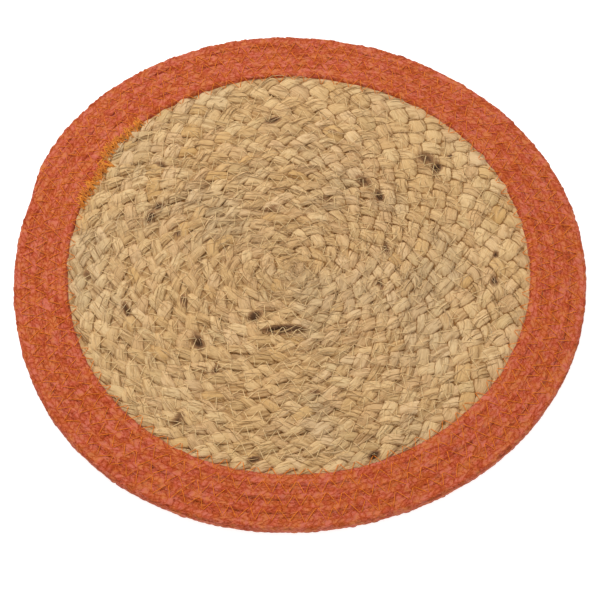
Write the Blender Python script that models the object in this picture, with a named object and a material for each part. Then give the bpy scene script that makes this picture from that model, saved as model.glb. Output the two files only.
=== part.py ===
# Round placemat for a dining table: a flat jute braid coiled into a disc and, wound on round
# it, four rounds of thick cotton cord. Both coils run outward anticlockwise seen from above.
# Metres and degrees, +Z up. The mat lies on z = 0 with its middle at the origin.

import math

import bmesh
import bpy

# Driving sizes
MAT_RADIUS = 0.190
CORD_ROUNDS = 4
CORD_WIDTH = 0.0092
CORD_THICKNESS = 0.0072
JUTE_ROUNDS = 12
JUTE_RADIUS = MAT_RADIUS - CORD_ROUNDS * CORD_WIDTH
JUTE_THICKNESS = 0.0064
BRAID_WIDTH = JUTE_RADIUS / JUTE_ROUNDS
SEAM_GAP = 0.0003
STEPS_PER_TURN = 60
TINY = 1e-6

# Every round lies on the one before it and climbs over it in one short stretch of the turn.
CLIMB_FROM = 112.0
CLIMB_TO = 168.0

# The braid is sewn down narrow at the end, and the cord starts in the corner that it leaves.
BRAID_END = 150.0
BRAID_END_SHARE = 0.48
BRAID_END_CURVE = 1.5
CORD_FULL_WIDTH_AT = 177.0
CORD_END = 168.0
CORD_END_SHARE = 0.30

# Hand-wound unevenness: the coil's middle sits off centre, the jute's outer rounds are wider
# on one side, and the outline has three soft corners and four flats.
COIL_MIDDLE = (-0.002, -0.009)
WIDE_SIDE = 60.0
WIDE_SIDE_SHIFT = 0.010
HUMP_GAIN = 27.0 / 4.0
THREE_CORNERS = 0.0022
FOUR_FLATS = 0.0009

# How much the upper face rises and dips from place to place
SURFACE_WAVE = 0.00035
WAVES_ROUND_THE_MAT = 5
WAVES_ACROSS_THE_MAT = 3.5

# Section of one round: place across it as a share of its width, and depth below the crest as
# a share of its thickness. The underside is given as height above the table.
BRAID_TOP = ((0.0, 0.25), (0.20, 0.05), (0.50, 0.0), (0.80, 0.05))
BRAID_UNDERSIDE = ((0.0, 0.20), (0.22, 0.0), (0.78, 0.0))
CORD_TOP = ((0.0, 0.32), (0.22, 0.06), (0.50, 0.0), (0.78, 0.06))
CORD_UNDERSIDE = ((0.0, 0.26), (0.27, 0.0), (0.73, 0.0))
MIDDLE_DIP = 0.10

# Faces that meet at more than this angle keep a sharp edge between them.
SHARP_ANGLE = 60.0

# Linear colours
JUTE_COLOUR = (0.60, 0.42, 0.21, 1.0)
COTTON_COLOUR = (0.58, 0.105, 0.038, 1.0)
CLOTH_ROUGHNESS = 0.95


def soft_step(share):
    share = min(max(share, 0.0), 1.0)
    return share * share * (3.0 - 2.0 * share)


def climb(degrees):
    """Rounds climbed at this angle, counted from the braid's end and through the next turn."""
    first = soft_step((degrees - CLIMB_FROM) / (CLIMB_TO - CLIMB_FROM))
    second = soft_step((degrees - 360.0 - CLIMB_FROM) / (CLIMB_TO - CLIMB_FROM))
    return first + second


def split_turns(turns, last):
    """Whole turns since the coil's start, at most the last, and the angle reached after them."""
    whole = min(math.floor(turns + TINY), last)
    return whole, BRAID_END + 360.0 * (turns - whole)


def braid_line(turns):
    """Radius of the seam that the braid's inner edge follows, before the hand-wound unevenness."""
    whole, degrees = split_turns(turns, JUTE_ROUNDS)
    if whole < 1:
        return 0.0
    if whole < JUTE_ROUNDS:
        return BRAID_WIDTH * (whole - 1.0 + climb(degrees))
    return braid_rim(degrees)


def braid_rim(degrees):
    """Radius of the jute disc: the last round's outer edge, narrowed towards the braid's end."""
    inner = JUTE_ROUNDS - 2.0 + climb(degrees)
    narrowing = max(degrees - 360.0 - CLIMB_FROM, 0.0) / (BRAID_END - CLIMB_FROM)
    share = 1.0 - (1.0 - BRAID_END_SHARE) * narrowing ** BRAID_END_CURVE
    return BRAID_WIDTH * (inner + share)


def cord_line(turns):
    """Radius of the seam that the cord's inner edge follows, before the unevenness."""
    whole, degrees = split_turns(turns, CORD_ROUNDS + 1)
    rim = braid_rim(degrees)
    if whole < 1:
        return rim + SEAM_GAP
    start_width = braid_rim(BRAID_END + 360.0) - braid_rim(BRAID_END)
    grown = soft_step((degrees - BRAID_END) / (CORD_FULL_WIDTH_AT - BRAID_END))
    first_width = start_width + (CORD_WIDTH - start_width) * grown
    radius = rim + SEAM_GAP + first_width + CORD_WIDTH * (min(whole, CORD_ROUNDS) - 1)
    if whole > CORD_ROUNDS:
        used = (degrees - BRAID_END) / (CORD_END - BRAID_END)
        radius += CORD_WIDTH * (1.0 - (1.0 - CORD_END_SHARE) * used)
    return radius


def in_plan(degrees, radius):
    """Place on the table of a point at this angle and even radius; the hump peaks at one."""
    share = min(radius / JUTE_RADIUS, 1.0)
    angle = math.radians(degrees)
    nearness = 0.5 + 0.5 * math.cos(math.radians(degrees - WIDE_SIDE))
    hump = HUMP_GAIN * share ** 2 * (1.0 - share)
    out = radius / MAT_RADIUS
    corners = THREE_CORNERS * out ** 3 * math.cos(3.0 * angle)
    flats = FOUR_FLATS * out ** 4 * math.cos(4.0 * angle)
    reach = radius - WIDE_SIDE_SHIFT * nearness * hump + corners - flats
    x = COIL_MIDDLE[0] * (1.0 - share) + reach * math.cos(angle)
    y = COIL_MIDDLE[1] * (1.0 - share) + reach * math.sin(angle)
    return x, y


def surface_wave(degrees, radius):
    around = math.sin(math.radians(WAVES_ROUND_THE_MAT * degrees))
    across = math.cos(2.0 * math.pi * WAVES_ACROSS_THE_MAT * radius / MAT_RADIUS)
    return SURFACE_WAVE * around * across * radius / MAT_RADIUS


class Coil:
    """One long flat strip wound on itself and closed into a single solid."""

    def __init__(self, line, steps, first_angle, thickness, top, underside, solid_middle):
        self.line = line
        self.steps = steps
        self.first_angle = first_angle
        self.thickness = thickness
        self.sections = {"top": top, "underside": underside}
        self.solid_middle = solid_middle
        self.mesh = bmesh.new()
        self.seams = {side: self.seam_points(side) for side in self.sections}
        self.rows = {side: self.row_points(side) for side in self.sections}

    def point(self, side, step, radius, depth):
        degrees = self.first_angle + 360.0 * step / STEPS_PER_TURN
        height = depth * self.thickness
        if side == "top":
            height = self.thickness * (1.0 - depth) + surface_wave(degrees, radius)
        x, y = in_plan(degrees, radius)
        return self.mesh.verts.new((x, y, height))

    def seam_points(self, side):
        """The seam between rounds, one point a step; a solid middle gathers its first turn."""
        depth = self.sections[side][0][1]
        points = []
        if self.solid_middle:
            middle = self.point(side, 0, 0.0, MIDDLE_DIP if side == "top" else 0.0)
            points = [middle] * STEPS_PER_TURN
        for step in range(len(points), self.steps + STEPS_PER_TURN + 1):
            radius = self.line(step / STEPS_PER_TURN)
            points.append(self.point(side, step, radius, depth))
        return points

    def row_points(self, side):
        """For each step the points across the strip, from its inner seam to its outer seam."""
        rows = []
        for step in range(self.steps + 1):
            inner = self.line(step / STEPS_PER_TURN)
            outer = self.line(step / STEPS_PER_TURN + 1.0)
            row = [self.seams[side][step]]
            for across, depth in self.sections[side][1:]:
                row.append(self.point(side, step, inner + (outer - inner) * across, depth))
            row.append(self.seams[side][step + STEPS_PER_TURN])
            rows.append(row)
        return rows

    def add_faces(self):
        for side, rows in self.rows.items():
            for row, following in zip(rows, rows[1:]):
                for place in range(len(row) - 1):
                    corners = (row[place], row[place + 1], following[place + 1], following[place])
                    self.add_face(corners)
        self.add_wall(range(self.steps, self.steps + STEPS_PER_TURN))
        self.add_cap(-1)
        if self.solid_middle:
            self.add_first_edge()
        else:
            self.add_wall(range(STEPS_PER_TURN))
            self.add_cap(0)

    def add_face(self, corners):
        """A face from its corners in order; the two that share the coil's middle count once."""
        self.mesh.faces.new(list(dict.fromkeys(corners)))

    def add_wall(self, steps):
        top = self.seams["top"]
        underside = self.seams["underside"]
        for step in steps:
            self.add_face((top[step], underside[step], underside[step + 1], top[step + 1]))

    def add_cap(self, index):
        """The cut end of the strip, as a fan from the middle of its underside."""
        top = self.rows["top"][index]
        underside = self.rows["underside"][index]
        hub = underside[1]
        around = underside[2:] + top[::-1] + underside[:1]
        for first, second in zip(around, around[1:]):
            self.add_face((hub, first, second))

    def add_first_edge(self):
        """The small step where the second round meets the strip's first edge."""
        for rows in self.rows.values():
            points = rows[0]
            for first, second in zip(points[:-1], points[1:-1]):
                self.add_face((points[-1], first, second))

    def finished(self, name, colour):
        self.add_faces()
        bmesh.ops.recalc_face_normals(self.mesh, faces=self.mesh.faces)
        data = bpy.data.meshes.new(name)
        self.mesh.to_mesh(data)
        self.mesh.free()
        data.shade_smooth()
        data.set_sharp_from_angle(angle=math.radians(SHARP_ANGLE))
        data.materials.append(cloth(name, colour))
        obj = bpy.data.objects.new(name, data)
        bpy.context.collection.objects.link(obj)
        return obj


def cloth(name, colour):
    material = bpy.data.materials.new(name + "_cloth")
    material.use_nodes = True
    shader = material.node_tree.nodes["Principled BSDF"]
    shader.inputs["Base Color"].default_value = colour
    shader.inputs["Roughness"].default_value = CLOTH_ROUGHNESS
    shader.inputs["Metallic"].default_value = 0.0
    return material


def jute_coil():
    steps = JUTE_ROUNDS * STEPS_PER_TURN
    coil = Coil(braid_line, steps, BRAID_END, JUTE_THICKNESS, BRAID_TOP, BRAID_UNDERSIDE, True)
    return coil.finished("jute_coil", JUTE_COLOUR)


def cotton_border():
    """The cord starts one gap past the braid's end and stops a little into its fifth round."""
    gap_angle = math.degrees(SEAM_GAP / braid_rim(BRAID_END))
    last_steps = round(STEPS_PER_TURN * (CORD_END - BRAID_END) / 360.0)
    steps = CORD_ROUNDS * STEPS_PER_TURN + last_steps
    first_angle = BRAID_END + gap_angle
    coil = Coil(cord_line, steps, first_angle, CORD_THICKNESS, CORD_TOP, CORD_UNDERSIDE, False)
    return coil.finished("cotton_border", COTTON_COLOUR)


def centre_on_origin(objects):
    """Slide the whole mat so that the middle of its outline is over the origin."""
    for axis in (0, 1):
        places = [vertex.co[axis] for obj in objects for vertex in obj.data.vertices]
        middle = (min(places) + max(places)) / 2.0
        for obj in objects:
            for vertex in obj.data.vertices:
                vertex.co[axis] -= middle


def main():
    for obj in list(bpy.data.objects):
        bpy.data.objects.remove(obj, do_unlink=True)
    centre_on_origin([jute_coil(), cotton_border()])


main()
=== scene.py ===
# Round placemat: a flat jute braid coiled into a disc, with four rounds of braided cotton cord
# wound on round it. Everything is in metres and degrees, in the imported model's frame.
import math
import bpy
import numpy as np
from mathutils import Matrix, Vector
from mathutils.bvhtree import BVHTree


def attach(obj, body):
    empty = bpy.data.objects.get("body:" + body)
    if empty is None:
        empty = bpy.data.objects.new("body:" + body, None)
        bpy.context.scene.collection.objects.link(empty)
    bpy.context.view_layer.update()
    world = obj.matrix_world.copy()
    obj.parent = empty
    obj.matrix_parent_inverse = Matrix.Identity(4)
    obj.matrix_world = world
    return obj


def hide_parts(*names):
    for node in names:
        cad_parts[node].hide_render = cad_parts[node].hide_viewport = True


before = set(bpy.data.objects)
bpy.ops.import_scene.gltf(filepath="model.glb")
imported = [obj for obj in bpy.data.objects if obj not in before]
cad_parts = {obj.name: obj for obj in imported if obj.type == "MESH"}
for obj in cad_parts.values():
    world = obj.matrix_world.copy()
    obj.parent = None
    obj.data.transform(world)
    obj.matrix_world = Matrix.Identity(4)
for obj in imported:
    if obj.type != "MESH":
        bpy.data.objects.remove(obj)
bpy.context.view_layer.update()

# The coil, with the same driving sizes as the solids
mat = {
    "radius": 0.190,
    "cordRounds": 4,
    "cordWidth": 0.0092,
    "cordThickness": 0.0072,
    "braidRounds": 12,
    "braidThickness": 0.0064,
    "seamGap": 0.0003,
    "climbFrom": 112.0,          # each round climbs over the last one between these angles
    "climbTo": 168.0,
    "braidEnd": 150.0,
    "braidEndShare": 0.48,
    "braidEndCurve": 1.5,
    "cordFullWidthAt": 177.0,
    "cordEnd": 168.0,
    "cordEndShare": 0.30,
    "coilMiddle": (-0.002, -0.009),
    "wideSide": 60.0,
    "wideSideShift": 0.010,
    "humpGain": 27.0 / 4.0,
    "threeCorners": 0.0022,
    "fourFlats": 0.0009,
    "clearance": 0.0001,         # lowest height of a strand over the table
}
juteRadius = mat["radius"] - mat["cordRounds"] * mat["cordWidth"]
braidWidth = juteRadius / mat["braidRounds"]
cordTurns = mat["cordRounds"] + (mat["cordEnd"] - mat["braidEnd"]) / 360.0
tiny = 1e-6
smallest = 1e-12             # keeps a division by a length from failing
fineSteps = 6000             # places along a coil at which its length is measured
outlineSteps = 4000          # places round the outline at which its middle is measured
millimetres = 1000.0         # in a metre: the finishes count in them


def softStep(share):
    share = np.clip(share, 0.0, 1.0)
    return share * share * (3.0 - 2.0 * share)


def climb(degrees):
    span = mat["climbTo"] - mat["climbFrom"]
    first = softStep((degrees - mat["climbFrom"]) / span)
    return first + softStep((degrees - 360.0 - mat["climbFrom"]) / span)


def splitTurns(turns, last):
    whole = np.minimum(np.floor(np.asarray(turns) + tiny), last)
    return whole, mat["braidEnd"] + 360.0 * (turns - whole)


def braidRim(degrees):
    inner = mat["braidRounds"] - 2.0 + climb(degrees)
    narrowing = np.maximum(degrees - 360.0 - mat["climbFrom"], 0.0) / (mat["braidEnd"] - mat["climbFrom"])
    return braidWidth * (inner + 1.0 - (1.0 - mat["braidEndShare"]) * narrowing ** mat["braidEndCurve"])


# Radius of the seam at the inner edge of the braid, and below of the cord, after so many turns
def braidLine(turns):
    whole, degrees = splitTurns(turns, mat["braidRounds"])
    climbed = braidWidth * (whole - 1.0 + climb(degrees))
    return np.where(whole < 1, 0.0, np.where(whole < mat["braidRounds"], climbed, braidRim(degrees)))


def cordLine(turns):
    rounds = mat["cordRounds"]
    whole, degrees = splitTurns(turns, rounds + 1)
    rim = braidRim(degrees) + mat["seamGap"]
    startWidth = braidRim(mat["braidEnd"] + 360.0) - braidRim(mat["braidEnd"])
    grown = softStep((degrees - mat["braidEnd"]) / (mat["cordFullWidthAt"] - mat["braidEnd"]))
    firstWidth = startWidth + (mat["cordWidth"] - startWidth) * grown
    radius = rim + firstWidth + mat["cordWidth"] * (np.minimum(whole, rounds) - 1)
    used = (degrees - mat["braidEnd"]) / (mat["cordEnd"] - mat["braidEnd"])
    lastWidth = mat["cordWidth"] * (1.0 - (1.0 - mat["cordEndShare"]) * used)
    radius = radius + np.where(whole > rounds, lastWidth, 0.0)
    return np.where(whole < 1, rim, radius)


def unevenPlace(degrees, radius):
    share = np.minimum(radius / juteRadius, 1.0)
    angle = np.radians(degrees)
    nearness = 0.5 + 0.5 * np.cos(np.radians(degrees - mat["wideSide"]))
    hump = mat["humpGain"] * share ** 2 * (1.0 - share)
    out = radius / mat["radius"]
    reach = radius - mat["wideSideShift"] * nearness * hump
    reach = reach + mat["threeCorners"] * out ** 3 * np.cos(3.0 * angle)
    reach = reach - mat["fourFlats"] * out ** 4 * np.cos(4.0 * angle)
    x = mat["coilMiddle"][0] * (1.0 - share) + reach * np.cos(angle)
    y = mat["coilMiddle"][1] * (1.0 - share) + reach * np.sin(angle)
    return np.stack([x, y], -1)


def outlineMiddle():
    turns = np.linspace(mat["cordRounds"] - 1.0, cordTurns, outlineSteps)
    rim = unevenPlace(mat["braidEnd"] + 360.0 * turns, cordLine(turns + 1.0))
    return (rim.min(0) + rim.max(0)) / 2.0


middle = outlineMiddle()


def onTable(degrees, radius):
    return unevenPlace(degrees, radius) - middle


# Centre, outward direction and half width of the round at each place along a coil
def roundAt(line, turns):
    degrees = mat["braidEnd"] + 360.0 * turns
    inner = onTable(degrees, line(turns))
    outer = onTable(degrees, line(turns + 1.0))
    across = outer - inner
    width = np.linalg.norm(across, axis=-1)
    return (inner + outer) / 2.0, across / width[:, None], width / 2.0


def lengthAlong(points):
    return np.append(0.0, np.cumsum(np.linalg.norm(np.diff(points, axis=0), axis=1)))


# Turns at even steps along the middle of a coil, and the length reached at each
def evenTurns(line, first, last, step):
    fine = np.linspace(first, last, fineSteps)
    length = lengthAlong(roundAt(line, fine)[0])
    wanted = np.linspace(0.0, length[-1], int(length[-1] / step) + 1)
    return np.interp(wanted, length, fine), wanted


# Smooth random values between -1 and 1, one to each place along a length
def wander(draw, length, spacing, columns=None):
    knots = int(length[-1] / spacing) + 4
    values = draw.uniform(-1.0, 1.0, (knots, columns or 1))
    place = length / spacing
    low = np.floor(place).astype(int)
    share = softStep(place - low)[:, None]
    blended = values[low] + (values[low + 1] - values[low]) * share
    return blended if columns else blended[:, 0]


def unit(vectors):
    return vectors / np.maximum(np.linalg.norm(vectors, axis=-1, keepdims=True), smallest)


def atHeight(flat, height):
    return np.concatenate([flat, height[..., None]], -1)


def spread(values, like):
    return np.broadcast_to(values[:, None], like.shape)


# Points round the section of a strand or cord, as shares of its half width and half height
def roundedSection(look):
    first, last = look["topFrom"], 180.0 - look["topFrom"]
    top = np.linspace(first, last, look["topPoints"])
    under = np.linspace(last, first + 360.0, look["underPoints"] + 2)[1:-1]
    turn = np.radians(np.concatenate([top, under]))
    power = 2.0 / look["squareness"]
    across = np.sign(np.cos(turn)) * np.abs(np.cos(turn)) ** power
    return across, np.sign(np.sin(turn)) * np.abs(np.sin(turn)) ** power


# A long coil is made as two pieces, which meet at one ring.
def insideAndOutside(turns, rounds):
    split = np.searchsorted(turns, rounds)
    return ("inside", slice(0, split + 1)), ("outside", slice(split, None))


def srgb(red, green, blue):
    part = np.array([red, green, blue]) / 255.0
    linear = np.where(part <= 0.04045, part / 12.92, ((part + 0.055) / 1.055) ** 2.4)
    return (*linear.tolist(), 1.0)


# A mesh becomes a piece, with the values on its points that its finish reads.
def finishedPiece(name, mesh, finish, spots=()):
    for title, values in spots:
        attribute = mesh.attributes.new(title, "FLOAT_VECTOR", "POINT")
        attribute.data.foreach_set("vector", values.astype(np.float32).ravel())
    mesh.materials.append(finish)
    piece = bpy.data.objects.new(name, mesh)
    bpy.context.scene.collection.objects.link(piece)
    return piece


# Rings of points, shaped (tubes, rings, points round, 3), become one mesh of closed tubes.
def tubePiece(name, rings, finish, spots=()):
    tubes, count, sides = rings.shape[:3]
    base = np.arange(tubes * count * sides).reshape(tubes, count, sides)
    turned = np.roll(base, -1, axis=2)
    sheets = np.stack([base[:, :-1], turned[:, :-1], turned[:, 1:], base[:, 1:]], -1).reshape(-1, 4)
    caps = np.concatenate([base[:, 0, ::-1], base[:, -1]])
    corners = np.concatenate([sheets.ravel(), caps.ravel()])
    sizes = np.concatenate([np.full(len(sheets), 4), np.full(len(caps), sides)])
    mesh = bpy.data.meshes.new(name)
    mesh.vertices.add(base.size)
    mesh.vertices.foreach_set("co", rings.astype(np.float32).ravel())
    mesh.loops.add(len(corners))
    mesh.loops.foreach_set("vertex_index", corners.astype(np.int32))
    mesh.polygons.add(len(sizes))
    starts = np.append(0, np.cumsum(sizes)[:-1])
    mesh.polygons.foreach_set("loop_start", starts.astype(np.int32))
    mesh.update(calc_edges=True)
    mesh.validate()
    mesh.shade_smooth()
    return finishedPiece(name, mesh, finish, spots)


nearlyUp = np.array([0.0, 0.0, 1.0]) + 1e-4      # never quite along a tube


# Round tubes along paths shaped (tubes, points, 3), each path point with its own thickness
def roundTubes(name, paths, radii, sides, finish, spots=()):
    along = unit(np.gradient(paths, axis=1))
    sideways = unit(np.cross(along, nearlyUp))
    upward = np.cross(sideways, along)
    turn = 2.0 * math.pi * np.arange(sides) / sides
    ring = np.cos(turn)[:, None] * sideways[:, :, None] + np.sin(turn)[:, None] * upward[:, :, None]
    rings = paths[:, :, None] + ring * radii[:, :, None, None]
    return tubePiece(name, rings, finish, spots)


def addNode(tree, kind, inputs=(), **settings):
    node = tree.nodes.new(kind)
    for key, value in settings.items():
        setattr(node, key, value)
    for socket, value in dict(inputs).items():
        if isinstance(value, bpy.types.NodeSocket):
            tree.links.new(value, node.inputs[socket])
        else:
            node.inputs[socket].default_value = value
    return node


cloth = {"sheenRoughness": 0.5, "specular": 0.12}


def newFinish(name, roughness, sheen):
    finish = bpy.data.materials.new(name)
    finish.use_nodes = True
    shader = finish.node_tree.nodes["Principled BSDF"]
    shader.inputs["Roughness"].default_value = roughness
    shader.inputs["Sheen Weight"].default_value = sheen
    shader.inputs["Sheen Roughness"].default_value = cloth["sheenRoughness"]
    shader.inputs["Specular IOR Level"].default_value = cloth["specular"]
    return finish, finish.node_tree, shader


def spotNode(tree, title):
    return addNode(tree, "ShaderNodeAttribute", attribute_name=title).outputs["Vector"]


def placeOnMat(tree):
    return addNode(tree, "ShaderNodeTexCoord").outputs["Object"]


def partsOf(tree, vector):
    return tuple(addNode(tree, "ShaderNodeSeparateXYZ", {0: vector}).outputs)


def stretched(tree, vector, scale):
    node = addNode(tree, "ShaderNodeVectorMath", {0: vector, 1: scale}, operation="MULTIPLY")
    return node.outputs["Vector"]


def noise(tree, vector, scale, detail=3.0, roughness=0.55):
    wanted = {"Vector": vector, "Scale": scale, "Detail": detail, "Roughness": roughness}
    return addNode(tree, "ShaderNodeTexNoise", wanted).outputs["Fac"]


def maths(tree, operation, first, second=0.0, clamp=False):
    node = addNode(tree, "ShaderNodeMath", {0: first, 1: second}, operation=operation, use_clamp=clamp)
    return node.outputs[0]


# The sum of some values, each times its share
def weighted(tree, *parts):
    total = 0.0
    for value, share in parts:
        total = maths(tree, "ADD", total, maths(tree, "MULTIPLY", value, share))
    return total


def between(tree, value, low, high, newLow=0.0, newHigh=1.0):
    wanted = {"Value": value, "From Min": low, "From Max": high, "To Min": newLow, "To Max": newHigh}
    return addNode(tree, "ShaderNodeMapRange", wanted, interpolation_type="SMOOTHSTEP").outputs[0]


def colours(tree, value, places, wanted):
    node = addNode(tree, "ShaderNodeValToRGB", {"Fac": value})
    ramp = node.color_ramp
    while len(ramp.elements) < len(places):
        ramp.elements.new(0.5)
    for element, place, colour in zip(ramp.elements, places, wanted):
        element.position = place
        element.color = colour
    return node.outputs["Color"]


def mixed(tree, share, first, second, blend="MIX"):
    node = addNode(tree, "ShaderNodeMix", data_type="RGBA", blend_type=blend)
    for socket, value in ((0, share), (6, first), (7, second)):
        if isinstance(value, bpy.types.NodeSocket):
            tree.links.new(value, node.inputs[socket])
        else:
            node.inputs[socket].default_value = value
    return node.outputs[2]


def bumped(tree, shader, height, strengthAndDepth, under=None):
    inputs = {"Height": height, "Strength": strengthAndDepth[0], "Distance": strengthAndDepth[1]}
    if under is not None:
        inputs["Normal"] = under
    normal = addNode(tree, "ShaderNodeBump", inputs).outputs["Normal"]
    tree.links.new(normal, shader.inputs["Normal"])
    return normal


# Jute: fibres run along each strand, every plait has its own tone, and hidden parts, the strands' sides
# and their crevices are darkened with painted shade.
juteLook = {
    "dark": srgb(152, 113, 62),
    "mid": srgb(212, 174, 122),
    "pale": srgb(244, 216, 168),
    "khaki": srgb(196, 170, 122),
    "pinkish": srgb(208, 168, 124),
    "ochre": srgb(205, 160, 88),
    "greyish": srgb(196, 172, 136),
    "golden": srgb(208, 165, 106),
    "smudge": srgb(150, 112, 72),
    # painted shade colour for shaded sides, hidden parts, split notches and crevices; it also gives dark
    # loose fibres their own tone
    "shadeAndDarkFibreColour": srgb(134, 88, 36),
    "barkEdge": srgb(148, 109, 72),
    "bark": srgb(84, 57, 36),
    "roughness": 0.86,
    "sheen": 0.05,
    "fineGrain": (0.20, 2.1, 2.1),             # fibres, bundles and bits: spots to a millimetre
    "bundleGrain": (0.07, 0.75, 0.75),         # along, across and through a strand
    "bitGrain": (0.25, 0.9, 0.9),
    "smudgeGrain": (1.0, 1.3, 1.0),
    "regionSpots": 28.0,                       # noise scales over the mat
    "slowSpots": 17.0,
    "smudgeSpots": 85.0,
    "tones": (0.12, 0.46, 0.86),               # places of dark, mid and pale on the ramp
    "tints": (0.10, 0.42, 0.78, 0.96),         # of khaki, mid, mid and pinkish
    "toneShare": 0.36,
    "streakShare": 0.38,
    "regionShare": 0.28,
    "tintShare": 0.50,
    "fineInStreaks": 0.84,
    "streaks": (0.36, 0.64),
    "bundleTint": 0.4,
    "greyishPatches": (0.50, 0.66, 0.0, 0.36),  # from and to in the noise, and the share at each
    "goldenPatches": (0.34, 0.50, 0.24, 0.0),
    "smudges": (0.60, 0.76, 0.0, 0.45),
    "ochrePlaits": (0.90, 0.98, 0.0, 0.45),
    "creviceShade": (0.0, 0.50, 0.80, 0.0),
    "raggedRegion": 0.9,
    "raggedBark": 0.7,
    "barkRims": (0.22, 0.54),
    "barkCores": (0.48, 0.88),
    "bundleBump": (0.4, 0.0007),               # strength and depth
    "fineBump": (0.9, 0.0006),
}


def juteFinish():
    look = juteLook
    finish, tree, shader = newFinish("natural_jute", look["roughness"], look["sheen"])
    place = placeOnMat(tree)
    fibre = spotNode(tree, "fibreSpot")
    tone, hue, barky = partsOf(tree, spotNode(tree, "plaitLook"))
    depth, split, clearance = partsOf(tree, spotNode(tree, "paintedShadeAndDarkFibre"))
    region = noise(tree, place, look["regionSpots"], 2.0)
    slow = noise(tree, place, look["slowSpots"], 2.0)
    smudge = noise(tree, stretched(tree, place, look["smudgeGrain"]), look["smudgeSpots"], 3.0, 0.6)
    fine = noise(tree, stretched(tree, fibre, look["fineGrain"]), 1.0, 2.0, 0.7)
    bundle = noise(tree, stretched(tree, fibre, look["bundleGrain"]), 1.0, 2.0, 0.5)
    bits = noise(tree, stretched(tree, fibre, look["bitGrain"]), 1.0, 3.0, 0.7)
    streak = weighted(tree, (fine, look["fineInStreaks"]), (bundle, 1.0 - look["fineInStreaks"]))
    streak = between(tree, streak, *look["streaks"])
    shares = look["toneShare"], look["streakShare"], look["regionShare"]
    level = weighted(tree, *zip((tone, streak, region), shares))
    base = colours(tree, level, look["tones"], (look["dark"], look["mid"], look["pale"]))
    tint = weighted(tree, (hue, 1.0), (bundle, look["bundleTint"]))
    tint = colours(tree, tint, look["tints"], (look["khaki"], look["mid"], look["mid"], look["pinkish"]))
    colour = mixed(tree, look["tintShare"], base, tint)
    offBits = maths(tree, "SUBTRACT", bits, 0.5)
    offRegion = maths(tree, "SUBTRACT", region, 0.5)
    creviceShadeDistance = weighted(tree, (clearance, 1.0), (offBits, 1.0), (offRegion, look["raggedRegion"]))
    stain = weighted(tree, (barky, 1.0), (offBits, look["raggedBark"]))
    # The last three layers paint shade: on shaded sides and hidden parts, in split notches and as a
    # ragged line along each crevice.
    layers = (
        (between(tree, slow, *look["greyishPatches"]), "greyish"),
        (between(tree, slow, *look["goldenPatches"]), "golden"),
        (between(tree, smudge, *look["smudges"]), "smudge"),
        (between(tree, hue, *look["ochrePlaits"]), "ochre"),
        (maths(tree, "SUBTRACT", 1.0, depth, clamp=True), "shadeAndDarkFibreColour"),
        (maths(tree, "SUBTRACT", 1.0, split, clamp=True), "shadeAndDarkFibreColour"),
        (between(tree, creviceShadeDistance, *look["creviceShade"]), "shadeAndDarkFibreColour"),
        (between(tree, stain, *look["barkRims"]), "barkEdge"),
        (between(tree, stain, *look["barkCores"]), "bark"),
    )
    for amount, title in layers:
        colour = mixed(tree, amount, colour, look[title])
    tree.links.new(colour, shader.inputs["Base Color"])
    ridges = bumped(tree, shader, bundle, look["bundleBump"])
    bumped(tree, shader, fine, look["fineBump"], ridges)
    return finish


# Threads and lint: one colour, a little darker and lighter from place to place
plainLook = {"spots": 420.0, "darker": 0.72, "lighter": 1.12, "tones": (0.3, 0.7)}


def plainFinish(name, colour, roughness, sheen):
    finish, tree, shader = newFinish(name, roughness, sheen)
    patch = noise(tree, placeOnMat(tree), plainLook["spots"], 3.0)
    tones = []
    for brightness in (plainLook["darker"], plainLook["lighter"]):
        tones.append(tuple(min(brightness * part, 1.0) for part in colour[:3]) + (1.0,))
    tree.links.new(colours(tree, patch, plainLook["tones"], tones), shader.inputs["Base Color"])
    return finish


# Cotton: rows of plaits that lean this way and that, with yarn lines along each plait, painted light on
# each plait's crown and painted shade at its edges
cottonLook = {
    "dark": srgb(150, 53, 8),
    "mid": srgb(186, 88, 53),
    "pale": srgb(200, 113, 84),
    "orange": srgb(255, 255, 200),             # tints that multiply the colour
    "pinkish": srgb(255, 241, 255),
    "roughness": 0.9,
    "sheen": 0.10,
    "tones": (0.46, 0.80, 1.0),                # places of dark, mid and pale on the ramp
    "tints": (0.40, 0.62),                     # of pinkish and orange
    "jitterSpots": 300.0,                      # noise scales over the mat
    "fuzzSpots": 1100.0,
    "patchSpots": 130.0,
    "dyeSpots": 210.0,
    "jitterAlong": 2.2,                        # millimetres
    "jitterAcross": 1.6,
    "yarnSlant": 0.9,
    "yarnStretch": 0.3,
    "yarnSpots": 1.5,
    "shares": (0.30, 0.32, 0.16, 1.00, 0.30),  # of crown, tone, yarns, fuzz and patches
    "fuzzFrom": 0.24,
    "crownBump": (0.4, 0.0008),                # strength and depth
    "yarnBump": (0.4, 0.0004),
    "fuzzBump": (0.6, 0.0004),
}


# One at the middle of a plait and nothing at its edges, as plaitRows gives it to the mesh
def domed(tree, place, fill):
    away = maths(tree, "MULTIPLY", maths(tree, "ABSOLUTE", place), fill)
    return maths(tree, "SUBTRACT", 1.0, maths(tree, "POWER", away, cord["plaitEdge"]), clamp=True)


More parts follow.
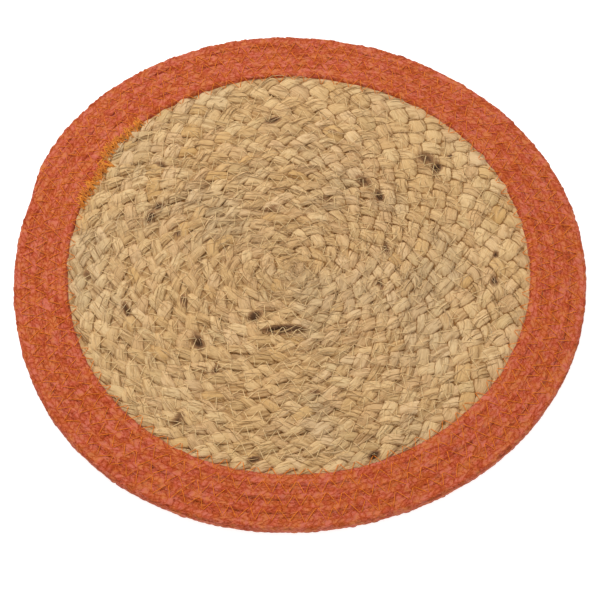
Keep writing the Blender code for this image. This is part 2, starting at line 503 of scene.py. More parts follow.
def cottonFinish():
    look = cottonLook
    finish, tree, shader = newFinish("terracotta_cotton", look["roughness"], look["sheen"])
    place = placeOnMat(tree)
    along, aside = partsOf(tree, spotNode(tree, "yarnSpot"))[:2]
    wanted = {"Vector": place, "Scale": look["jitterSpots"], "Detail": 2.0}
    jitter = partsOf(tree, addNode(tree, "ShaderNodeTexNoise", wanted).outputs["Color"])
    run = weighted(tree, (along, 1.0), (jitter[0], look["jitterAlong"]))
    across = weighted(tree, (aside, 1.0), (jitter[1], look["jitterAcross"]))
    column = maths(tree, "MULTIPLY", across, 1.0 / millimetres / cord["plaitRow"])
    row = maths(tree, "FLOOR", column)
    inRow = maths(tree, "SUBTRACT", maths(tree, "SUBTRACT", column, row), 0.5)
    way = weighted(tree, (1.0, 1.0), (maths(tree, "FLOORED_MODULO", row, 2.0), -2.0))
    slant = maths(tree, "MULTIPLY", way, inRow)
    perPitch = 1.0 / millimetres / cord["plaitPitch"]
    count = weighted(tree, (run, perPitch), (slant, cord["lean"]), (row, cord["rowShift"]))
    whole = maths(tree, "FLOOR", count)
    inPlait = weighted(tree, (maths(tree, "SUBTRACT", count, whole), 2.0), (-1.0, 1.0))
    crown = maths(tree, "MULTIPLY", domed(tree, inPlait, 1.0), domed(tree, inRow, cord["rowFill"]))
    cell = addNode(tree, "ShaderNodeCombineXYZ", {0: whole, 1: row}).outputs[0]
    tone = addNode(tree, "ShaderNodeTexWhiteNoise", {"Vector": cell}).outputs["Value"]
    slanted = weighted(tree, (run, 1.0), (maths(tree, "MULTIPLY", way, across), look["yarnSlant"]))
    lengthways = weighted(tree, (across, 1.0), (maths(tree, "MULTIPLY", way, run), -look["yarnSlant"]))
    lengthways = maths(tree, "MULTIPLY", lengthways, look["yarnStretch"])
    lines = addNode(tree, "ShaderNodeCombineXYZ", {0: slanted, 1: lengthways}).outputs[0]
    yarns = noise(tree, lines, look["yarnSpots"], 2.0)
    fuzz = noise(tree, place, look["fuzzSpots"], 2.0, 0.7)
    patch = noise(tree, place, look["patchSpots"], 3.0)
    dyed = noise(tree, place, look["dyeSpots"], 2.0)
    overFuzz = maths(tree, "SUBTRACT", fuzz, look["fuzzFrom"])
    # Painted light and shade: the crown share makes each plait's crown lighter and its edges darker in
    # colour.
    level = weighted(tree, *zip((crown, tone, yarns, overFuzz, patch), look["shares"]))
    base = colours(tree, level, look["tones"], (look["dark"], look["mid"], look["pale"]))
    tint = colours(tree, dyed, look["tints"], (look["pinkish"], look["orange"]))
    tree.links.new(mixed(tree, 1.0, base, tint, "MULTIPLY"), shader.inputs["Base Color"])
    lumps = bumped(tree, shader, crown, look["crownBump"])
    threads = bumped(tree, shader, yarns, look["yarnBump"], lumps)
    bumped(tree, shader, fuzz, look["fuzzBump"], threads)
    return finish


# The fill between the strands; the jute fill is darkened half way to the painted shade colour, for the
# shade under the strands
bed = {
    "edge": 0.0016,
    "middle": 0.0004,            # radius where the disc starts
    "tone": (0.3, 0.5, 0.0),     # with its hue and no bark
    "jute": {"cells": (120, 16), "low": 0.0032, "high": 0.0044, "rough": 0.0009, "shade": 0.50,
             "seed": 51},
    "cotton": {"cells": (260, 14), "low": 0.0012, "high": 0.0062, "rough": 0.0007, "shade": 0.50,
               "seed": 52},
}


# A ring or disc as a swept closed section: its first and last sections are the same.
def bedPiece(name, inner, outer, look, finish):
    draw = np.random.default_rng(look["seed"])
    around, across = look["cells"]
    degrees = 360.0 * np.arange(around) / around
    share = np.linspace(0.0, 1.0, across)
    first, last = inner(degrees), outer(degrees)
    radius = first[:, None] + (last - first)[:, None] * share
    flat = onTable(degrees[:, None], radius)
    high = look["high"] - look["rough"] * draw.uniform(0.0, 1.0, radius.shape)
    under = atHeight(flat, np.full(radius.shape, look["low"]))[:, ::-1]
    ring = np.concatenate([atHeight(flat, high), under], 1)
    index = np.arange(ring.size // 3).reshape(around, 2 * across)
    onward = np.roll(index, -1, axis=0)
    faces = np.stack([index, np.roll(index, -1, 1), np.roll(onward, -1, 1), onward], -1)
    mesh = bpy.data.meshes.new(name)
    mesh.from_pydata(ring.reshape(-1, 3).tolist(), [], faces.reshape(-1, 4).tolist())
    mesh.validate()
    turned = np.radians(degrees)[:, None] * radius
    spot = millimetres * np.stack([turned, radius, 0.0 * radius], -1)
    spot = np.concatenate([spot, spot[:, ::-1]], 1)
    plain = np.broadcast_to(bed["tone"], spot.shape)
    # painted shade: the first value darkens the jute fill towards the shade colour
    shade = np.broadcast_to((look["shade"], 1.0, crevice["open"]), spot.shape)
    spots = (("fibreSpot", spot), ("plaitLook", plain), ("paintedShadeAndDarkFibre", shade), ("yarnSpot", spot))
    return finishedPiece(name, mesh, finish, spots)


def fromBraidEnd(degrees):
    return np.where(degrees < mat["braidEnd"], degrees + 360.0, degrees)


def discMiddle(degrees):
    return bed["middle"] + 0.0 * degrees


def discRim(degrees):
    return braidRim(fromBraidEnd(degrees)) - bed["edge"]


def ringInner(degrees):
    return discRim(degrees) + 2.0 * bed["edge"] + mat["seamGap"]


def ringOuter(degrees):
    turns = (fromBraidEnd(degrees) - mat["braidEnd"]) / 360.0 + mat["cordRounds"]
    return cordLine(turns) - bed["edge"]


# The three strands of the jute braid
braid = {
    "step": 0.0015,
    "topFrom": 0.0,              # where a strand's upper side starts, and as far past its other edge
    "topPoints": 10,
    "underPoints": 3,
    "pitchInside": 0.0150,       # from plait to plait along the braid, at the middle and at the rim
    "pitchOutside": 0.0148,
    "unevenPitch": 0.16,
    "sway": 0.335,               # of the round's width, from the braid's middle to a strand at the edge
    "unevenSway": 0.13,
    "middle": 0.0034,            # height of the strands' middle
    "lift": 0.00150,
    "flatTop": 1.5,
    "earlyRise": -14.0,          # how far before the edge a strand comes to the top, of 360 a plait
    "unevenLift": 0.0005,
    "strandWidth": 0.66,         # of the round's width, at the middle of a plait
    "foldWidth": 0.92,           # of that, where the strand folds at the edge or goes under
    "unevenWidth": 0.22,
    "strandThickness": 0.0033,
    "squareness": 2.3,
    "roll": 7.0,
    "steepSide": 22.0,           # where the plaits cross the round most steeply
    "steepness": (-0.03, 0.08),
    "tangledSide": 198.0,        # where the seams are deepest and the plaits lie flattest
    "tangledNarrowing": 0.08,
    "tangledSway": 0.07,
    "tangledClear": 0.30,
    "steepClear": 0.30,
    "edgeRidge": 0.09,           # fibre bundles along the strand, of its half width and thickness
    "topRidge": 0.09,
    "notch": 0.30,
    "changeAt": 0.25,            # where a plait takes over from the last one, and over how much of it
    "changeOver": 0.22,
    "leafShift": 20.0,
    "leafCurve": 0.8,
    "pitchRun": 0.070,           # lengths over which random values change
    "bundleRun": 0.011,
    "splitRun": 0.013,
    "edgeRun": 0.007,
    "splits": (0.55, 0.35),      # how strong a split starts, and over how much more it deepens
    "splitTop": 0.3,
    # painted shade: how much the upper side of a split, and the strands' sides half way up, are darkened
    "splitShade": 0.6,
    "sideShade": 0.30,           # darker half way up, and from where to where it lightens
    "sides": (0.10, 0.50),
    "seams": (0.65, 0.25),       # where across the round the seam starts, and over how much more
    "strandShift": 977.0,        # keeps the three strands' fibres apart, in millimetres
    "insideRounds": 8.4,
    "seed": 4,
}


def tangled(turns):
    degrees = mat["braidEnd"] + 360.0 * turns - braid["tangledSide"]
    return 0.5 + 0.5 * np.cos(np.radians(degrees))


# A value for every plait, blended into the next one where the strand passes underneath
def perPlait(values, phase):
    place = phase / math.pi - braid["changeAt"]
    which = np.floor(place).astype(int)
    share = softStep((place - which) / braid["changeOver"])
    return values[which + 1] * (1.0 - share) + values[which + 2] * share


# Nothing up to the start, and full after the reach
def rising(value, startAndReach):
    start, reach = startAndReach
    return softStep((value - start) / reach)


# A strand goes straight from edge to edge and rests a little in the fold at each edge.
def braidStrand(number, draw, turns, length, pitchWander):
    centre, outward, half = roundAt(braidLine, turns)
    width = 2.0 * half
    grown = turns / mat["braidRounds"]
    pitch = braid["pitchInside"] + (braid["pitchOutside"] - braid["pitchInside"]) * grown
    pitch = pitch * (1.0 + braid["unevenPitch"] * pitchWander)
    phase = np.cumsum(np.gradient(length) / (3.0 * pitch)) * 2.0 * math.pi
    phase = phase + 2.0 * math.pi * number / 3.0
    plaits = int(phase[-1] / math.pi) + 5
    looks = draw.uniform(0.0, 1.0, (plaits, 2))
    thick = 1.0 + braid["unevenWidth"] * perPlait(draw.uniform(-1.0, 1.0, plaits), phase)
    swing = 1.0 + braid["unevenSway"] * perPlait(draw.uniform(-1.0, 1.0, plaits), phase)
    swing = swing * (1.0 + braid["tangledSway"] * tangled(turns))
    fromSteep = np.radians(mat["braidEnd"] + 360.0 * turns - braid["steepSide"])
    steep = braid["steepness"][0] + braid["steepness"][1] * np.cos(fromSteep)
    crossing = (1.0 + steep) * np.sin(phase) + steep * np.sin(3.0 * phase)
    lateral = braid["sway"] * width * swing * crossing
    rise = -np.sin(2.0 * phase + math.radians(braid["earlyRise"]))
    rise = np.tanh(braid["flatTop"] * rise) / math.tanh(braid["flatTop"])
    height = braid["middle"] + braid["lift"] * rise
    height = height + braid["unevenLift"] * perPlait(draw.uniform(-1.0, 1.0, plaits), phase)
    path = atHeight(centre + outward * lateral[:, None], height)
    along = unit(np.gradient(path, axis=0))
    sideways = unit(np.cross(along, (0.0, 0.0, 1.0)))
    upward = np.cross(sideways, along)
    roll = np.radians(braid["roll"]) * np.sin(phase)
    tilted = np.cos(roll)[:, None] * sideways - np.sin(roll)[:, None] * upward
    raised = np.sin(roll)[:, None] * sideways + np.cos(roll)[:, None] * upward
    sectionX, sectionY = roundedSection(braid)
    leaf = np.abs(np.sin(2.0 * phase - math.radians(braid["leafShift"]))) ** braid["leafCurve"]
    leaf = braid["foldWidth"] + (1.0 - braid["foldWidth"]) * leaf
    narrowed = 1.0 - braid["tangledNarrowing"] * tangled(turns)
    bandWidth = braid["strandWidth"] * width * thick * leaf * narrowed
    bandThickness = braid["strandThickness"] * np.sqrt(width / braidWidth) * (0.5 + 0.5 * thick)
    columns = len(sectionX)
    bundles = wander(draw, length, braid["bundleRun"], columns)
    splits = rising(wander(draw, length, braid["splitRun"], columns), braid["splits"])
    ridge = 1.0 + braid["topRidge"] * bundles - braid["notch"] * splits
    edge = 1.0 + braid["edgeRidge"] * wander(draw, length, braid["edgeRun"], columns)
    offsetX = 0.5 * bandWidth[:, None] * sectionX * edge
    offsetY = 0.5 * bandThickness[:, None] * sectionY * ridge
    rings = path[:, None] + offsetX[..., None] * tilted[:, None] + offsetY[..., None] * raised[:, None]
    rings[..., 2] = np.maximum(rings[..., 2], mat["clearance"])
    run = spread(millimetres * length + braid["strandShift"] * number, offsetX)
    fibreSpot = np.stack([run, millimetres * offsetX, millimetres * offsetY], -1)
    tone = spread(perPlait(looks[:, 0], phase), offsetX)
    hue = spread(perPlait(looks[:, 1], phase), offsetX)
    plaitLook = np.stack([tone, hue, barkAt(rings)], -1)
    # Painted shade: the strands are darkened half way up their sides, where they pass under each other,
    # and on the upper side of split notches.
    halfHigh = mat["braidThickness"] / 2.0
    level = rising(np.abs(rings[..., 2] - halfHigh) / halfHigh, braid["sides"])
    depth = 1.0 - braid["sideShade"] + braid["sideShade"] * level
    # These shift the distance to the crevices: the painted crevice shade is fainter across the rounds on
    # the tangled side and at the seams on the other side, and stronger across the rounds on the steep
    # side.
    atSeam = rising(np.abs(lateral[:, None] + offsetX) / half[:, None], braid["seams"])
    away = tangled(turns)[:, None]
    inMiddle = braid["tangledClear"] * away - braid["steepClear"] * (1.0 - away)
    clear = crevice["seamClear"] * atSeam * (1.0 - away) + inMiddle * (1.0 - atSeam)
    unshadedBySplits = 1.0 - braid["splitShade"] * splits * (sectionY > braid["splitTop"])
    paintedShadeAndDarkFibre = np.stack([depth, unshadedBySplits, clear], -1)
    return {"rings": rings, "path": path, "phase": phase, "sideways": sideways, "width": bandWidth,
            "spots": (fibreSpot, plaitLook, paintedShadeAndDarkFibre)}


# Packed fibres under each seam, between the folds of the two rounds beside it; the jute packing is
# darkened a little with painted shade, and more on the tangled side where it lies deepest
packed = {
    "jute": {"step": 0.0030, "width": 0.0062, "top": 0.0050, "thickness": 0.0030, "unevenTop": 0.00035,
             "unevenWidth": 0.25, "unevenSide": 0.0009, "ridge": 0.16, "points": 8, "shade": 0.92,
             "tangledDrop": 0.0008, "tangledShade": 0.24, "seed": 6},
    "cotton": {"step": 0.0016, "width": 0.0040, "top": 0.0069, "thickness": 0.0034, "unevenTop": 0.00045,
               "unevenWidth": 0.22, "unevenSide": 0.0004, "ridge": 0.20, "points": 7, "shade": 1.0,
               "tangledDrop": 0.0, "tangledShade": 0.0, "seed": 7},
    "runs": {"drop": 0.007, "side": 0.015, "width": 0.009, "ridge": 0.005, "top": 0.006, "tone": 0.014,
             "hue": 0.021},      # lengths over which random values change
    "unevenHue": 0.4,
}


def packedStrand(line, firstTurn, lastTurn, look):
    draw, runs = np.random.default_rng(look["seed"]), packed["runs"]
    turns, length = evenTurns(line, firstTurn, lastTurn, look["step"])
    deeper = tangled(turns) * (0.5 + 0.5 * wander(draw, length, runs["drop"]))
    flat = onTable(mat["braidEnd"] + 360.0 * turns, line(turns))
    along = unit(np.gradient(flat, axis=0))
    sideways = np.stack([along[:, 1], -along[:, 0]], 1)
    flat = flat + sideways * (look["unevenSide"] * wander(draw, length, runs["side"]))[:, None]
    turn = np.radians(np.append(np.linspace(0.0, 180.0, look["points"]), 270.0))
    wide = look["width"] / 2.0 * (1.0 + look["unevenWidth"] * wander(draw, length, runs["width"]))
    ridges = wander(draw, length, runs["ridge"], len(turn))
    offsetX = wide[:, None] * np.cos(turn)
    offsetZ = look["thickness"] / 2.0 * (1.0 + look["ridge"] * ridges) * np.sin(turn)
    level = look["top"] - look["thickness"] / 2.0
    level = level + look["unevenTop"] * wander(draw, length, runs["top"]) - look["tangledDrop"] * deeper
    rings = flat[:, None] + sideways[:, None] * offsetX[..., None]
    tone = spread(0.5 + 0.5 * wander(draw, length, runs["tone"]), offsetX)
    hue = spread(0.5 + packed["unevenHue"] * wander(draw, length, runs["hue"]), offsetX)
    run = spread(millimetres * length, offsetX)
    return {"rings": atHeight(rings, level[:, None] + offsetZ), "tone": tone, "hue": hue,
            "spot": np.stack([run, millimetres * offsetX, millimetres * offsetZ], -1),
            "shade": spread(look["shade"] - look["tangledShade"] * deeper, offsetX)}


def jutePackingPiece(packing, clearance, finish):
    plaitLook = np.stack([packing["tone"], packing["hue"], barkAt(packing["rings"])], -1)
    paintedShadeAndDarkFibre = np.stack([packing["shade"], np.ones(clearance.shape), clearance], -1)
    spots = (("fibreSpot", packing["spot"]), ("plaitLook", plaitLook), ("paintedShadeAndDarkFibre", paintedShadeAndDarkFibre))
    return tubePiece("jute_seam_fill", packing["rings"][None], finish, spots)


# Crevices: how far each point lies from the nearest place where another strand covers its own, for the
# painted shade along the crevices
crevice = {
    "cell": 0.0005,
    "parts": (4, 6),             # each face along and across, so that it marks every cell it covers
    "across": 2.1,               # the grid's side, of the disc's radius
    "clear": 0.00015,
    "reach": 5,
    "under": 3,
    "seamClear": 0.35,
    "underside": 1.5,            # millimetres, as if from a crevice
    "open": 9.0,
}


def heightGrid(rings, rows):
    cell = crevice["cell"]
    partsAlong, partsAcross = crevice["parts"]
    count = int(crevice["across"] * juteRadius / cell)
    highest = np.zeros((count, count))
    for first in range(partsAlong):
        shifted = (rings[:-1] + (rings[1:] - rings[:-1]) * first / partsAlong)[rows]
        for second in range(partsAcross):
            points = shifted[:, :-1] + (shifted[:, 1:] - shifted[:, :-1]) * second / partsAcross
            index = np.clip((points[..., :2] / cell + count / 2.0).astype(int), 0, count - 1)
            np.maximum.at(highest, (index[..., 0], index[..., 1]), points[..., 2])
    return highest


# Cells from each place of a grid to the nearest marked one
def cellsFrom(marked, reach):
    moves = [(x, y) for x in range(-reach, reach + 1) for y in range(-reach, reach + 1)]
    moves = [move for move in moves if 0.0 < math.hypot(*move) <= reach + 0.5]
    far = np.full(marked.shape, reach + 1.0)
    for move in sorted(moves, key=lambda move: -math.hypot(*move)):
        far[np.roll(marked, move, (0, 1))] = math.hypot(*move)
    return far


# One grid for each strand of the odd and of the even rounds, and one for the packing: millimetres
# to the nearest covered place, less than nothing where the strand itself is covered
def coverGrids(surfaces):
    heights = [heightGrid(rings, rows) for rings, rows in surfaces]
    grids = []
    for number, own in enumerate(heights):
        others = np.max(heights[:number] + heights[number + 1:], axis=0)
        covered = (own > 0.0) & (others > own + crevice["clear"])
        outside = cellsFrom(covered, crevice["reach"]) - 0.5
        under = 0.5 - cellsFrom((own > 0.0) & ~covered, crevice["under"])
        grids.append(millimetres * crevice["cell"] * np.where(covered, under, outside))
    return grids


def fromGrid(grid, points):
    count = len(grid)
    place = np.clip(points[..., :2] / crevice["cell"] + count / 2.0 - 0.5, 0.0, count - 1.001)
    low = place.astype(int)
    share = place - low
    x, y, shareX, shareY = low[..., 0], low[..., 1], share[..., 0], share[..., 1]
    near = grid[x, y] * (1.0 - shareX) + grid[x + 1, y] * shareX
    far = grid[x, y + 1] * (1.0 - shareX) + grid[x + 1, y + 1] * shareX
    return near * (1.0 - shareY) + far * shareY


def findCrevices(strands, turns, packing):
    odd = np.floor(turns) % 2 == 1
    tops = [strand["rings"][:, :braid["topPoints"]] for strand in strands]
    surfaces = [(top, rows[:-1]) for top in tops for rows in (odd, ~odd)]
    fill = packing["rings"]
    surfaces.append((fill[:, :packed["jute"]["points"]], np.ones(len(fill) - 1, bool)))
    grids = coverGrids(surfaces)
    for number, strand in enumerate(strands):
        inOdd, inEven = (fromGrid(grid, strand["rings"]) for grid in grids[2 * number:2 * number + 2])
        strand["spots"][2][..., 2] += np.where(odd[:, None], inOdd, inEven)
        strand["spots"][2][:, braid["topPoints"]:, 2] = crevice["underside"]
    return fromGrid(grids[-1], fill) + crevice["seamClear"]


# Dark bark left in the jute: place on the mat, reach along and across, direction and strength
bark = {
    "patches": (
        (0.093, 0.076, 0.0040, 0.0036, 60.0, 1.30),
        (0.087, 0.083, 0.0090, 0.0055, 150.0, 0.80),
        (0.103, 0.086, 0.0022, 0.0016, 80.0, 1.20),
        (-0.021, 0.114, 0.0065, 0.0034, 20.0, 1.10),
        (0.021, 0.105, 0.0050, 0.0022, 160.0, 0.65),
        (-0.098, 0.075, 0.0055, 0.0030, 160.0, 0.75),
        (-0.097, 0.040, 0.0045, 0.0030, 40.0, 1.05),
        (-0.102, 0.031, 0.0055, 0.0036, 70.0, 1.10),
        (-0.083, 0.019, 0.0040, 0.0030, 50.0, 0.80),
        (0.042, 0.064, 0.0085, 0.0045, 150.0, 0.75),
        (0.053, 0.052, 0.0050, 0.0030, 120.0, 1.10),
        (0.017, 0.049, 0.0080, 0.0028, 165.0, 0.65),
        (-0.020, 0.040, 0.0090, 0.0028, 15.0, 0.60),
        (0.057, 0.009, 0.0060, 0.0028, 100.0, 0.90),
        (0.053, -0.018, 0.0070, 0.0024, 100.0, 0.75),
        (0.128, -0.015, 0.0045, 0.0030, 80.0, 1.05),
        (0.130, 0.006, 0.0035, 0.0024, 60.0, 0.90),
        (-0.029, -0.043, 0.0060, 0.0036, 30.0, 1.05),
        (-0.010, -0.053, 0.0140, 0.0034, 4.0, 1.25),
        (-0.076, -0.033, 0.0060, 0.0028, 100.0, 0.85),
        (-0.065, -0.063, 0.0075, 0.0040, 120.0, 1.00),
        (-0.053, -0.083, 0.0050, 0.0028, 60.0, 0.90),
        (-0.113, -0.040, 0.0065, 0.0026, 115.0, 0.95),
        (-0.141, -0.014, 0.0045, 0.0026, 100.0, 0.80),
        (-0.075, -0.118, 0.0070, 0.0035, 60.0, 0.75),
        (0.010, -0.098, 0.0045, 0.0026, 10.0, 0.80),
        (-0.027, -0.144, 0.0050, 0.0024, 15.0, 1.10),
        (0.047, -0.140, 0.0042, 0.0026, 30.0, 1.30),
    ),
}


def barkAt(points):
    amount = np.zeros(points.shape[:-1])
    for x, y, along, across, degrees, strength in bark["patches"]:
        turn = math.radians(degrees)
        offX, offY = points[..., 0] - x, points[..., 1] - y
        lengthways = (offX * math.cos(turn) + offY * math.sin(turn)) / along
        sideways = (offY * math.cos(turn) - offX * math.sin(turn)) / across
        amount = np.maximum(amount, strength * np.exp(-lengthways ** 2 - sideways ** 2))
    return amount


def juteStrandList():
    draw = np.random.default_rng(braid["seed"])
    turns, length = evenTurns(braidLine, 0.0, mat["braidRounds"] - tiny, braid["step"])
    pitchWander = wander(draw, length, braid["pitchRun"])
    strands = [braidStrand(number, draw, turns, length, pitchWander) for number in range(3)]
    return strands, turns


def juteBraid(strands, turns, finish):
    pieces = []
    for side, part in insideAndOutside(turns, braid["insideRounds"]):
        rings = np.stack([strand["rings"][part] for strand in strands])
        spots = []
        for number, title in enumerate(("fibreSpot", "plaitLook", "paintedShadeAndDarkFibre")):
            spots.append((title, np.stack([strand["spots"][number][part] for strand in strands])))
        pieces.append(tubePiece("jute_braid_" + side, rings, finish, spots))
    return pieces


# The braided cotton cord: rows of plaits along it that lean this way and that
cord = {
    "step": 0.0009,
    "topPoints": 20,
    "underPoints": 4,
    "topFrom": -20.0,            # the upper side reaches this far below each edge, in degrees
    "squareness": 4.4,
    "widen": 1.02,
    "unevenWidth": 0.03,
    "unevenHeight": 0.00015,
    "innerSlope": 0.45,          # fall of the first round's inner shoulder, of its half thickness
    "slopeTo": (0.98, 0.04),     # in turns, where that ends and over how much it fades
    "endTaper": 0.036,
    "endWidth": 0.25,
    "endHeight": 0.6,
    "endTuck": 1.30,             # how far the narrowed end tucks in beside the round before it
    "plaitRow": 0.0034,
    "plaitPitch": 0.0044,
    "lean": 0.65,
    "rowShift": 0.37,
    "rowFill": 1.9,
    "plaitEdge": 2.6,
    "raised": 0.0012,
    "sunk": 0.75,
    "smoothSide": 0.7,
    "unevenPlait": 0.8,
    "plaitTable": 4096,
    "unevenRun": 0.0022,
    "unevenAcross": 0.0015,
    "runs": {"width": 0.012, "height": 0.03, "across": 0.006, "along": 0.007},
    "insideRounds": 2.1,
    "seed": 11,
}


def plaitRows(draw, length, across):
    column = across / cord["plaitRow"]
    row = np.floor(column)
    inRow = column - row - 0.5
    way = np.where(row % 2 == 0, 1.0, -1.0)
    run = length / cord["plaitPitch"] + way * inRow * cord["lean"] + cord["rowShift"] * row
    whole = np.floor(run)
    inPlait = 2.0 * (run - whole) - 1.0
    endways = np.clip(1.0 - np.abs(inPlait) ** cord["plaitEdge"], 0.0, 1.0)
    widthways = np.clip(1.0 - np.abs(cord["rowFill"] * inRow) ** cord["plaitEdge"], 0.0, 1.0)
    table = draw.uniform(1.0 - cord["unevenPlait"], 1.0 + cord["unevenPlait"], cord["plaitTable"])
    own = table[(whole * 31 + row * 577).astype(int) % len(table)]
    return endways * widthways * own


def borderCord(finish):
    draw, runs = np.random.default_rng(cord["seed"]), cord["runs"]
    gapTurns = mat["seamGap"] / (2.0 * math.pi * float(braidRim(mat["braidEnd"])))
    turns, length = evenTurns(cordLine, gapTurns, cordTurns, cord["step"])
    centre, outward, half = roundAt(cordLine, turns)
    toEnd = softStep((length[-1] - length) / cord["endTaper"])
    taper = cord["endWidth"] + (1.0 - cord["endWidth"]) * toEnd
    centre = centre - outward * (half * (1.0 - taper) * cord["endTuck"])[:, None]
    half = half * taper
    sectionX, sectionY = roundedSection(cord)
    grown = half * (cord["widen"] + cord["unevenWidth"] * wander(draw, length, runs["width"]))
    tall = mat["cordThickness"] / 2.0 + cord["unevenHeight"] * wander(draw, length, runs["height"])
    tall = tall * (cord["endHeight"] + (1.0 - cord["endHeight"]) * taper)
    offsetX = grown[:, None] * sectionX
    offsetZ = tall[:, None] * sectionY
    besideJute = 1.0 - rising(turns, cord["slopeTo"])[:, None]
    fall = cord["innerSlope"] * besideJute * np.maximum(-sectionX, 0.0) ** 3
    offsetZ = np.where(offsetZ > 0.0, offsetZ * (1.0 - fall), offsetZ)
    steps = np.hypot(np.diff(offsetX, axis=1), np.diff(offsetZ, axis=1))
    across = np.concatenate([np.zeros((len(steps), 1)), np.cumsum(steps, 1)], 1)
    across = across - across[:, cord["topPoints"] // 2][:, None]
    across = across + cord["unevenAcross"] * wander(draw, length, runs["across"], len(sectionX))
    run = length[:, None] + cord["unevenRun"] * wander(draw, length, runs["along"], len(sectionX))
    swell = cord["raised"] * (plaitRows(draw, run, across) - cord["sunk"])
    normal = unit(np.stack([offsetX / grown[:, None] ** 2, offsetZ / tall[:, None] ** 2], -1))
    swell = swell * (1.0 - cord["smoothSide"] * np.abs(normal[..., 0]))
    offsetX = offsetX + swell * normal[..., 0]
    offsetZ = offsetZ + swell * normal[..., 1]
    flat = centre[:, None] + outward[:, None] * offsetX[..., None]
    rings = atHeight(flat, np.maximum(tall[:, None] + offsetZ, mat["clearance"]))
    yarnSpot = millimetres * np.stack([run, across, offsetZ], -1)
    pieces = []
    for side, part in insideAndOutside(turns, cord["insideRounds"]):
        spots = (("yarnSpot", yarnSpot[part]),)
        pieces.append(tubePiece("cotton_cord_" + side, rings[None, part], finish, spots))
    return pieces


rayFrom = 0.05               # height from which rays fall on the mat


# Height of the highest of some pieces over each place, for the threads and fibres that lie on them
def heightOver(pieces):
    graph = bpy.context.evaluated_depsgraph_get()
    trees = [BVHTree.FromObject(piece, graph) for piece in pieces]
    down = Vector((0.0, 0.0, -1.0))

    def heights(places):
        found = np.zeros(places.shape[:-1])
        for index in np.ndindex(*places.shape[:-1]):
            start = Vector((*places[index], rayFrom))
            hits = (tree.ray_cast(start, down)[0] for tree in trees)
            found[index] = max((hit.z for hit in hits if hit is not None), default=0.0)
        return found
    return heights


# A thread pulled tight over bumps: every point at least on the line between any two others
def pulledTight(heights):
    count = heights.shape[-1]
    place = np.arange(count)
    lifted = heights.copy()
    for first in range(count):
        for last in range(first + 2, count):
            share = (place[first + 1:last] - first) / (last - first)
            line = heights[..., first, None] * (1.0 - share) + heights[..., last, None] * share
            lifted[..., first + 1:last] = np.maximum(lifted[..., first + 1:last], line)
    return lifted


# Zigzag machine stitches along a seam
def zigzag(line, firstTurn, lastTurn, stitch, draw, heights):
    fine = np.linspace(firstTurn, lastTurn, fineSteps)
    length = lengthAlong(onTable(mat["braidEnd"] + 360.0 * fine, line(fine)))
    count = int(length[-1] / (stitch["period"] / 2.0))
    even = (np.arange(count) + 0.5) * stitch["period"] / 2.0
    places = even + draw.normal(0.0, stitch["unevenStep"], count)
    turns = np.interp(places, length, fine)
    here, ahead = (onTable(mat["braidEnd"] + 360.0 * turn, line(turn)) for turn in (turns, turns + 1e-4))
    along = unit(ahead - here)
    outward = np.stack([along[:, 1], -along[:, 0]], 1)
    side = np.where(np.arange(count) % 2 == 0, 1.0, -1.0)
    reach = stitch["reach"] * (1.0 + draw.normal(0.0, stitch["unevenReach"], count)) * side
    holes = here + outward * (reach + stitch["shift"])[:, None]
    share = np.linspace(0.0, 1.0, stitch["points"])
    paths = holes[:-1, None] + (holes[1:] - holes[:-1])[:, None] * share[:, None]
    bow = draw.normal(0.0, stitch["bow"], count - 1)[:, None] * np.sin(math.pi * share)
    paths = paths + along[:-1, None] * bow[..., None]
    over = pulledTight(heights(paths)) + stitch["thickness"] * stitch["proud"]
    over[:, [0, -1]] -= stitch["sink"]
    return atHeight(paths, np.maximum(over, stitch["thickness"] / 2.0))


juteStitch = {"period": 0.0102, "reach": 0.0040, "shift": 0.0, "unevenStep": 0.0007,
              "unevenReach": 0.20, "bow": 0.00015, "points": 7, "thickness": 0.00044, "proud": 0.80,
              "sink": 0.0009, "sides": 4, "stretches": ((1.0, mat["braidRounds"] - 0.02),), "seed": 21}
cordStitch = {"period": 0.0104, "reach": 0.0043, "shift": 0.0, "unevenStep": 0.0009,
              "unevenReach": 0.15, "bow": 0.00015, "points": 7, "thickness": 0.00046, "proud": 0.55,
              "sink": 0.0010, "sides": 4, "stretches": ((0.01, mat["cordRounds"] + 0.04),), "seed": 22}

# The dense sewing where the cord starts on the end of the braid: four runs over each other
cornerStitch = {"period": 0.0028, "reach": 0.0033, "shift": 0.0008, "unevenStep": 0.0020,
                "unevenReach": 0.42, "bow": 0.00015, "points": 6, "thickness": 0.00036, "proud": 0.9,
                "sink": 0.0003, "sides": 4, "seed": 23,
                "stretches": ((-0.0430, 0.0430), (-0.0425, 0.0420), (-0.0410, 0.0435), (-0.0415, 0.0425))}


def threadPiece(name, line, stitch, heights, finish):
    draw = np.random.default_rng(stitch["seed"])
    stretches = stitch["stretches"]
    paths = np.concatenate([zigzag(line, *ends, stitch, draw, heights) for ends in stretches])
    radii = np.full(paths.shape[:2], stitch["thickness"] / 2.0)
    return roundTubes(name, paths, radii, stitch["sides"], finish)


# Fibres split off the strands, that run along them and stray over the next ones
splitFibres = {"count": 3000, "points": 5, "shortest": 0.006, "longest": 0.019, "thinnest": 0.00010,
               "thickest": 0.00030, "lift": 0.0007, "stray": 0.20, "within": 0.42, "onTop": -0.25,
               "topShift": 0.3, "pale": 0.75, "dark": 0.20, "seed": 30}


